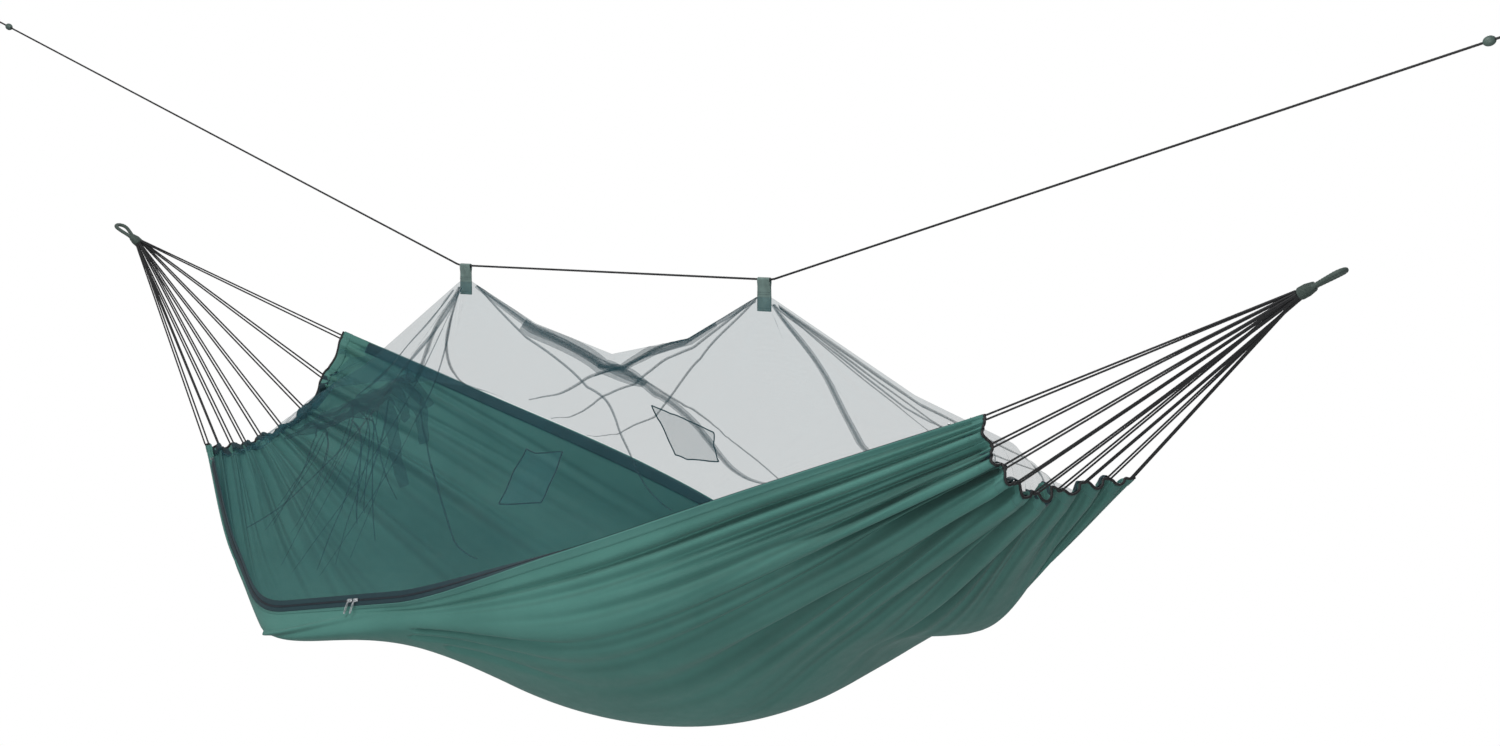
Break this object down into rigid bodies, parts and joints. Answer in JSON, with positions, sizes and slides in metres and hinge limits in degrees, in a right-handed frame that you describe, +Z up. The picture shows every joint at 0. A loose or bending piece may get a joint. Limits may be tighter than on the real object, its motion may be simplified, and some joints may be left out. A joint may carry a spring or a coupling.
{
  "type": "camping hammock",
  "caption": "Slung cloth camping hammock hung from rope eyes by fans of cord, with a zipped mosquito net held up by two tabs on a ridge line.",
  "frame": {"origin": "the point where the left rope eye bears on its hook", "axes": "+X from the left eye to the right eye, -Y towards the zipped side, +Z up"},
  "size_m": [4.0332, 0.9434, 1.4434],
  "materials": {
    "bed_cloth": "matte",
    "hem": "matte",
    "net": "matte",
    "tape": "matte",
    "cord": "satin",
    "eye_rope": "matte",
    "webbing": "satin",
    "zip_teeth": "satin",
    "zip_metal": "satin",
    "adjuster": "satin"
  },
  "bodies": {
    "ridge": {"ridge_line": "cord", "left_line_eye": "cord", "right_line_eye": "cord", "left_ridge_tab": "webbing", "right_ridge_tab": "webbing"},
    "bed": {"bed_cloth": "bed_cloth", "near_rim_hem": "hem", "far_rim_hem": "hem", "left_end_hem": "hem", "right_end_hem": "hem", "left_edge_rope": "cord", "right_edge_rope": "cord", "left_cords": "cord", "right_cords": "cord", "left_whipping": "eye_rope", "right_whipping": "eye_rope", "left_hanging_eye": "eye_rope", "right_hanging_eye": "eye_rope", "mosquito_net": "net", "far_net_binding": "tape", "left_net_binding": "tape", "right_net_binding": "tape", "zip_tape_bed": "tape", "zip_tape_net": "tape", "zip_chain": "zip_teeth", "zip_stops": "zip_metal", "gear_pocket_left": "net", "gear_pocket_right": "net"},
    "slider_left": {"zip_slider_left": "zip_metal"},
    "slider_right": {"zip_slider_right": "zip_metal"},
    "pull_left": {"zip_pull_left": "zip_metal"},
    "pull_right": {"zip_pull_right": "zip_metal"},
    "adjuster_left": {"left_line_adjuster": "adjuster"},
    "adjuster_right": {"right_line_adjuster": "adjuster"}
  },
  "joints": [
    {"name": "bed_swing", "type": "hinge", "parent": "ridge", "child": "bed", "pos_m": [0, 0, 0], "axis": [1, 0, 0], "range_deg": [-20, 20], "deforming": ["mosquito_net"]},
    {"name": "left_slider_travel", "type": "slide", "parent": "bed", "child": "slider_left", "axis": [-0.985, 0, -0.1724], "range_m": [0, 0.18]},
    {"name": "right_slider_travel", "type": "slide", "parent": "bed", "child": "slider_right", "axis": [0.985, 0, 0.1724], "range_m": [0, 0.09]},
    {"name": "left_pull_lift", "type": "hinge", "parent": "slider_left", "child": "pull_left", "pos_m": [1.2999, -0.44311, -0.68151], "axis": [-0.985, 0, -0.1724], "range_deg": [0, 86]},
    {"name": "right_pull_lift", "type": "hinge", "parent": "slider_right", "child": "pull_right", "pos_m": [1.3169, -0.44311, -0.67854], "axis": [-0.985, 0, -0.1724], "range_deg": [0, 86]},
    {"name": "left_adjuster_travel", "type": "slide", "parent": "ridge", "child": "adjuster_left", "axis": [0.9473, 0, -0.3202], "range_m": [-0.03, 0.3]},
    {"name": "right_adjuster_travel", "type": "slide", "parent": "ridge", "child": "adjuster_right", "axis": [-0.9591, 0, -0.2829], "range_m": [-0.025, 0.3]}
  ]
}
